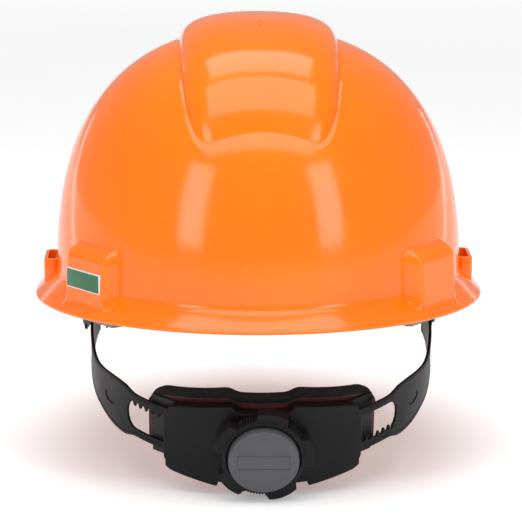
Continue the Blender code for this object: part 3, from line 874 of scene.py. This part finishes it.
def band_point(angle, inset, height):
    """A point of the headband's ellipse."""
    x = (BAND_HALF_WIDTH - inset) * math.cos(angle)
    reach = BAND_FRONT if math.sin(angle) > 0 else BAND_HALF_WIDTH - 0.0040
    return Vector((x, ARC_CENTRE.y + (reach - inset) * math.sin(angle), height))


def band_level(angle):
    """Height of the middle of the front and side band."""
    return BAND_LOW + BAND_RISE * smooth_step(math.sin(angle))


def band_strip(first, last, columns, low, high, half_thickness):
    """A moulded strip of the headband, with a rib along both edges and rounded corners."""
    def surface(s, t):
        angle = first + (last - first) * s
        off = min(s, 1 - s) * abs(last - first) * BAND_HALF_WIDTH / 0.0040
        pull = 0.0040 * (1 - math.sqrt(1 - (1 - min(1.0, off)) ** 2))
        bottom = low(angle) + pull
        top = high(angle) - pull
        rib = 0.00022 * math.exp(-((abs(2 * t - 1) - 0.84) / 0.07) ** 2)
        thick = (half_thickness + rib) * (1 - 0.35 * abs(2 * t - 1) ** 12)
        height = bottom + (top - bottom) * t
        front = band_point(angle, -thick, height)
        return front, band_point(angle, thick, height), (s * 0.3, t * 0.025)
    return sheet_solid(columns, 18, surface)


def make_headband(material):
    """Front and side band, rear hanger strips, and four tabs with pegs and struts."""
    def half(angle):
        side = min(abs(angle), abs(math.pi - angle))
        return 0.0050 + 0.0075 * smooth_step((side - math.radians(10)) / math.radians(22))

    def hanger_low(angle):
        return HANGER_LOW + HANGER_RISE * smooth_step((0.15 - math.sin(angle)) / 0.5)
    front = band_strip(math.radians(5), math.radians(175), 180, lambda a: band_level(a) - half(a),
                       lambda a: band_level(a) + half(a), BAND_HALF_THICKNESS)
    joined = []
    for first, last in ((-32, 10), (170, 212)):
        joined.append(band_strip(math.radians(first), math.radians(last), 50, hanger_low,
                                 lambda a: hanger_low(a) + HANGER_HEIGHT, HANGER_HALF_THICKNESS))
    for place, _ in KEY_FRAMES:
        inward = -0.0205 if place.translation.y > 0 else -0.0100
        boxes = (((-0.0090, -0.0099, -0.0055), (0.0090, -0.0081, 0.0080), 0.0006),
                 ((-0.0027, -0.0090, -0.0022), (0.0027, -0.0064, 0.0016), 0.0004),
                 ((-0.0070, inward, -0.0050), (0.0070, -0.0090, -0.0030), 0.0004))
        joined += [placed(rounded_box(*box), place) for box in boxes]
    piece("head_band", combine(front, joined), [material], "helmet",
          ["headband"])


def make_sweatband(material):
    """Brow pad: a long stuffed strip with sewn cross channels and a flat back."""
    first, last = math.radians(24), math.radians(156)
    half = 0.0150

    def surface(s, t):
        angle = first + (last - first) * s
        level = band_level(angle)
        ends = min(1.0, min(s, 1 - s) / 0.035)
        rim = min(ends, 1 - abs(2 * t - 1) ** 3.0)
        full = math.sqrt(max(0.0, 1 - (1 - rim) ** 2))
        channel = 1 - 0.5 * math.exp(-((s * 8 % 1 - 0.5) / 0.045) ** 2)
        seam = 1 - 0.35 * math.exp(-((abs(t - 0.5) - 0.40) / 0.025) ** 2)
        height = level + (t - 0.5) * 2 * half * (1 - 0.06 * (1 - ends))
        back = band_point(angle, 0.0016 + 0.0006 * (1 - full), height)
        front = band_point(angle, 0.0026 + 0.0034 * full * channel * seam, height)
        return front, back, (s * 0.25, t * 0.03)
    obj = piece("brow_pad", sheet_solid(220, 24, surface), [material], "helmet",
                ["sweatband"], sharp=75)


# ---- ratchet

PAD_TOP = [(0.0, 0.0262), (0.0130, 0.0262), (0.0190, 0.0285), (0.0560, 0.0215),
           (0.0630, 0.0175), (0.0680, 0.0090)]
PAD_BOTTOM = [(0.0, -0.0215), (0.0200, -0.0215), (0.0620, -0.0180), (0.0680, -0.0120)]
PAD_HALF_WIDTH = 0.0680


def soft_table(table, x, width=0.0016):
    """A table's value averaged over a short stretch, so that its corners are round."""
    return sum(table_value(table, abs(x + width * k / 2)) for k in range(-2, 3)) / 5


def make_pad(reflection_painted_cloth, lip):
    """Nape pad: flat towards the ratchet, crowned towards the neck, with a thick dark edge; the
    dark red of its face is a painted reflection of the orange shell.
    """
    def surface(s, t):
        even = 2 * s - 1
        x = PAD_HALF_WIDTH * (0.65 * even + 0.35 * math.sin(even * math.pi / 2))
        top = soft_table(PAD_TOP, x)
        bottom = soft_table(PAD_BOTTOM, x)
        y = bottom + (top - bottom) * t
        rim = min(PAD_HALF_WIDTH - abs(x), top - y, y - bottom)
        share = min(1.0, rim / 0.0050)
        full = math.sqrt(max(0.0, 1 - (1 - share) ** 2))
        bead = math.exp(-((top - y - 0.0026) / 0.0020) ** 2)
        seam = math.exp(-((rim - 0.0056) / 0.0007) ** 2)
        channel = math.exp(-((abs(x) - 0.0240) / 0.0012) ** 2)
        outer = -0.0059 + 0.0010 * full - 0.0006 * seam + 0.0013 * bead * min(1.0, rim / 0.0015)
        inner = -0.0073 - 0.0024 * full + 0.0007 * seam + 0.0009 * channel * full
        points = []
        for z in (outer, inner):
            angle = x / ARC_RADIUS
            reach = ARC_RADIUS + z
            local = Vector((reach * math.sin(angle), y, reach * math.cos(angle)))
            points.append(NAPE_FRAME @ local)
        return points[0], points[1], (x, y)

    # The face takes the dark red cloth, a painted reflection of the orange shell; the edges take
    # the dark cloth.
    def pick(s, t, front):
        return 0 if front and 0.08 < t < 0.885 and 0.02 < s < 0.98 else 1
    obj = piece("nape_cushion", sheet_solid(150, 56, surface, pick), [reflection_painted_cloth, lip], "nape_unit",
                ["nape_pad"], sharp=75)


def arm_edge(out):
    """Half height of an arm at an arc distance `out` from the knob's axis."""
    widen = smooth_step((out - ARM_WIDE_START) / 0.010)
    narrow = smooth_step((out - ARM_NARROW_START) / 0.030)
    return ARM_HALF_IN + ARM_WIDEN * widen - ARM_NARROW * narrow


def arm_rise(out):
    """Lift of an arm's middle line where it climbs to the headband."""
    return ARM_RISE * smooth_step((math.degrees(abs(out) / ARC_RADIUS) - ARM_RISE_START) / 32)


def rack_line():
    """The toothed edge of an arm's slot, from its outer end inwards."""
    root = GEAR_PITCH_RADIUS + DEDENDUM
    tip = GEAR_PITCH_RADIUS - ADDENDUM
    points = [(ARM_SLOT_OUT - 0.0020, root)]
    for index in range(int(ARM_TEETH_OUT / TOOTH_PITCH), -4, -1):
        centre = index * TOOTH_PITCH
        points += [(centre + 0.0013, root), (centre + 0.0005, tip),
                   (centre - 0.0005, tip), (centre - 0.0013, root)]
    points.append((ARM_SLOT_IN, root))
    return points


def make_arm(name, side, toothed_edge, material):
    """A nape arm with its toothed slot, rounded edges, an edge rib and an oval recess."""
    steps = 60
    outs = [ARM_END_IN + (ARM_END_OUT - ARM_END_IN) * i / steps for i in range(steps + 1)]
    outer = [(side * out, arm_edge(out)) for out in outs]
    outer += [(side * out, -arm_edge(out)) for out in reversed(outs)]
    plain = -(GEAR_PITCH_RADIUS + ADDENDUM + 0.0008)
    slot = [(side * out, toothed_edge * height) for out, height in rack_line()]
    slot.append((side * ARM_SLOT_IN, toothed_edge * plain))
    root = GEAR_PITCH_RADIUS + DEDENDUM
    for index in range(8):
        angle = -math.pi / 2 + math.pi * index / 8
        height = (root + plain) / 2 + (root - plain) / 2 * math.sin(angle)
        out = ARM_SLOT_OUT - SLOT_END_SWEEP * (1 - math.cos(angle))
        slot.append((side * out, toothed_edge * height))
    half = ARM_THICKNESS / 2
    body = plate([outer, slot], -half, half - 0.0002, 0.00035)
    ribs = []
    for edge in (-1, 1):
        line = [out for out in outs if 0.058 < out < 0.146]
        upper = [(side * out, edge * (arm_edge(out) - 0.0012)) for out in line]
        lower = [(side * out, edge * (arm_edge(out) - 0.0021)) for out in reversed(line)]
        ribs.append(plate([upper + lower], half - 0.0006, half, 0.00015, 1))
    oval = [(side * (0.0945 + 0.0055 * math.cos(a)), 0.0032 * math.sin(a))
            for a in (2 * math.pi * k / 28 for k in range(28))]
    recess = plate([oval], half - 0.0006, half + 0.0010)
    mesh = combine(body, [join(ribs)], [recess])
    radius = ARC_RADIUS - ARM_OFFSET if side < 0 else ARC_RADIUS + ARM_OFFSET
    mesh = placed(bend(mesh, radius, rise=arm_rise), NAPE_FRAME)
    piece(name + "_strap", mesh, [material], name, [name], crisp=True)


def cover_outline():
    """Outline of the flat housing, before it is bent round the arc."""
    right = [(0.0120, 0.0203), (0.0158, 0.0238), (0.0420, 0.0192), (0.0468, 0.0178),
             (0.0505, 0.0125), (0.0505, -0.0135), (0.0480, -0.0172), (0.0220, -0.0212)]
    return right + [(-x, y) for x, y in reversed(right)]


def make_cover(material):
    """Ratchet housing: bent plate with a channel for the arms, two lower lips and a seat."""
    body = plate([eased_outline(cover_outline(), 0.0012)], COVER_IN, COVER_OUT, 0.0005)
    channel = rounded_box((-0.0700, -CHANNEL_HALF, -0.0100), (0.0700, CHANNEL_HALF, CHANNEL_OUT),
                          0.0004, 1)
    lips = []
    lip = [(0.0500, -0.0150), (0.0500, -0.0188), (0.0470, -0.0205), (0.0225, -0.0243),
           (0.0215, -0.0180)]
    for side in (-1, 1):
        outline = [(side * x, y) for x, y in lip]
        lips.append(plate([eased_outline(outline, 0.0010)], 0.0012, 0.0037, 0.0005))
    flat = combine(body, [join(lips)], [channel])
    bent = bend(flat, ARC_RADIUS)
    seat = plate([circle(SEAT_RADIUS, 72)], ARC_RADIUS - 0.0005, ARC_RADIUS + SEAT_OUT, 0.0003)
    hole = plate([circle(SHAFT_HOLE, 40)], ARC_RADIUS - 0.0100, ARC_RADIUS + 0.0200)
    mesh = placed(combine(bent, [seat], [hole]), NAPE_FRAME)
    piece("ratchet_housing", mesh, [material], "nape_unit",
          ["ratchet_cover"], crisp=True)


def knob_outline():
    """Five broad lobes with steep sides, and fine finger ribs in the valleys between."""
    count = 720
    points = []
    for index in range(count):
        angle = 2 * math.pi * index / count
        wave = 0.5 + 0.5 * math.cos(KNOB_LOBES * (angle - KNOB_PHASE))
        lobe = smooth_step((wave - 0.30) / 0.26)
        crown = 0.0004 * smooth_step((wave - 0.56) / 0.44)
        ribs = 0.00042 * (1 - lobe) * math.sin(90 * angle)
        radius = KNOB_VALLEY + (KNOB_RADIUS - 0.0004 - KNOB_VALLEY) * lobe + crown + ribs
        points.append((radius * math.cos(angle), radius * math.sin(angle)))
    return points


def make_knob(material):
    """The turning ring: lobed rim, a low collar and a deep groove round the cap."""
    rim = plate([knob_outline()], 0.0056, 0.0126, 0.0004)
    collar = plate([circle(0.0205, 96)], 0.0120, 0.0131, 0.0004)
    recess = plate([circle(0.0190, 96)], 0.0098, 0.0150)
    hollow = plate([circle(0.0175, 64)], 0.0040, 0.0076)
    mesh = placed(combine(rim, [collar], [recess, hollow]), KNOB_FRAME)
    piece("knob_ring", mesh, [material], "knob", ["knob"], sharp=28,
          crisp=True)


def make_cap(material):
    """The disc on the knob, with a shallow blank panel."""
    disc = plate([circle(CAP_RADIUS, 128)], CAP_IN, CAP_OUT, 0.0007, 4)
    panel = plate([rounded_outline(-0.0135, 0.0135, -0.0042, 0.0042, 0.0006)],
                  CAP_OUT - 0.00025, CAP_OUT + 0.0012)
    raised = plate([rounded_outline(-0.0129, 0.0129, -0.0036, 0.0036, 0.0005)],
                   CAP_OUT - 0.0008, CAP_OUT - 0.0001, 0.0001)
    under = plate([circle(0.0050, 32)], 0.0090, 0.0125)
    cut = combine(disc, [], [panel, under])
    mesh = placed(combine(cut, [raised]), KNOB_FRAME)
    piece("cap_disc", mesh, [material], "knob", ["knob_cap"], sharp=28,
          crisp=True)


# ---- stage

def area_light(name, place, aim, size, power, upright=(0, 0, 1)):
    """A soft box that faces aim, with its height along upright."""
    light = bpy.data.lights.new(name, "AREA")
    light.shape = "RECTANGLE"
    light.size, light.size_y = size
    light.energy = power
    obj = bpy.data.objects.new(name, light)
    bpy.context.scene.collection.objects.link(obj)
    back = (Vector(place) - Vector(aim)).normalized()
    across = Vector(upright).cross(back).normalized()
    turn = Matrix((across, back.cross(across), back)).transposed().to_4x4()
    obj.matrix_world = Matrix.Translation(place) @ turn
    obj.visible_camera = False


def make_stage():
    """Floor, backdrop and soft boxes."""
    bm = bmesh.new()
    bmesh.ops.create_circle(bm, cap_ends=True, segments=96, radius=14)
    mesh = finished(bm, "floor")
    mesh.materials.append(plain_floor("studio_floor"))
    floor = link("studio_floor", mesh)
    floor.location.z = CAD_BOX[0][2] - 0.0006
    world = bpy.data.worlds.new("studio")
    world.use_nodes = True
    tree = world.node_tree
    background = tree.nodes["Background"]
    direction = tree.nodes.new("ShaderNodeTexCoord").outputs["Generated"]
    split = tree.nodes.new("ShaderNodeSeparateXYZ")
    tree.links.new(direction, split.inputs["Vector"])
    sky = ramp(tree, split.outputs["Z"], ((0.0, (0.40, 0.40, 0.40)), (0.10, (0.39, 0.39, 0.39)),
                                          (0.35, (WORLD_LEVEL,) * 3), (1.0, (WORLD_LEVEL,) * 3)))
    tree.links.new(sky, background.inputs["Color"])
    bpy.context.scene.world = world
    area_light("overhead_front", (0.0, 0.28, 1.30), (0, 0.05, 0.08), (1.10, 0.55), 6.0)
    area_light("overhead_rear", (0.0, -0.52, 1.30), (0, -0.05, 0.08), (1.60, 0.85), 12.5)
    for name, side in (("left", -1), ("right", 1)):
        area_light(name + "_front", (side * 1.20, -1.30, 0.70), (0, 0, 0.05), (0.50, 1.15), 8.0)
        area_light(name + "_rim", (side * 0.58, 0.62, 0.03), (side * 0.1, 0, 0.05), (0.022, 0.48),
                   0.10, upright=(side * -0.40, 0, 0.24))


def make_camera():
    """Camera behind the helmet and slightly above, as in the photo."""
    data = bpy.data.cameras.new("camera")
    data.sensor_width = 36.0
    data.lens = data.sensor_width * VIEW_DISTANCE / VIEW_WIDTH
    camera = bpy.data.objects.new("camera", data)
    bpy.context.scene.collection.objects.link(camera)
    back = Vector((math.sin(VIEW_AZIMUTH) * math.cos(VIEW_ELEVATION),
                   -math.cos(VIEW_AZIMUTH) * math.cos(VIEW_ELEVATION),
                   math.sin(VIEW_ELEVATION)))
    camera.location = VIEW_AIM + back * VIEW_DISTANCE
    camera.rotation_euler = (-back).to_track_quat("-Z", "Y").to_euler()
    bpy.context.scene.camera = camera


# ---- assembly

def paint(names, material):
    """A CAD node that stays gets its procedural material."""
    for name in names:
        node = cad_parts[name]
        node.data.materials.clear()
        node.data.materials.append(material)


orange = moulded_plastic("orange_shell", (0.96, 0.164, 0.002), (1.0, 0.183, 0.003),
                         (0.11, 0.17), 420, 0.00002, fixed=(("Specular IOR Level", 0.42),))
black = moulded_plastic("black_nylon", (0.0045, 0.0045, 0.005), (0.008, 0.008, 0.009),
                        (0.36, 0.50), 1300, 0.00004, edge=(0.030, 0.030, 0.032),
                        fixed=(("Specular IOR Level", 0.16),))
knob_black = moulded_plastic("knob_black", (0.006, 0.006, 0.0065), (0.009, 0.009, 0.010),
                             (0.42, 0.55), 1300, 0.00004, edge=(0.04, 0.04, 0.043),
                             fixed=(("Specular IOR Level", 0.16),))
grey = moulded_plastic("cap_grey", (0.060, 0.060, 0.068), (0.074, 0.074, 0.083), (0.55, 0.68),
                       1500, 0.00005, edge=(0.15, 0.15, 0.165))
key_grey = moulded_plastic("key_grey", (0.20, 0.20, 0.21), (0.25, 0.25, 0.26), (0.40, 0.55),
                           1200, 0.00004)
acetal = moulded_plastic("acetal", (0.66, 0.65, 0.60), (0.74, 0.73, 0.69), (0.30, 0.42),
                         1200, 0.00003)
green = moulded_plastic("label_green", (0.010, 0.115, 0.040), (0.014, 0.145, 0.052), (0.32, 0.42),
                        1500, 0.00002)
pale = moulded_plastic("label_border", (0.66, 0.67, 0.64), (0.74, 0.75, 0.72), (0.35, 0.45),
                       1500, 0.00002)
webbing = woven_webbing("grey_webbing", (0.10, 0.10, 0.105), (0.34, 0.34, 0.35), 0.0022, 0.0016)
# Dark red of the nape pad's face: a painted reflection of the orange shell, on knitted cloth.
painted_reflection_cloth = knitted_cloth("cloth_painted_reflection", (0.045, 0.003, 0.004), (0.115, 0.010, 0.010), 0.0009)
dark_cloth = knitted_cloth("black_cloth", (0.003, 0.003, 0.0035), (0.010, 0.009, 0.010),
                           0.0009, 0.06)
brow_cloth = knitted_cloth("brow_cloth", (0.030, 0.030, 0.034), (0.085, 0.085, 0.092), 0.0013)

make_camera()
make_stage()
piece("shell_moulding", make_shell(), [orange], "helmet", ["shell"])
make_label([pale, green])
make_strap("lower", -1, STRAP_TOP, webbing)
make_strap("upper", 1, STRAP_TOP + STRAP_LAP, webbing)
make_headband(black)
make_sweatband(brow_cloth)
make_pad(painted_reflection_cloth, dark_cloth)
make_arm("left_arm", -1, 1, black)
make_arm("right_arm", 1, -1, black)
make_cover(black)
make_knob(knob_black)
make_cap(grey)
paint(["nape_plate"], black)
paint(["key_" + corner for corner in CORNERS], key_grey)
paint(["drive_gear", "detent_ring"], acetal)
paint(["knob_screw"], turned_steel("turned_steel"))

bpy.context.scene.view_settings.view_transform = "Standard"
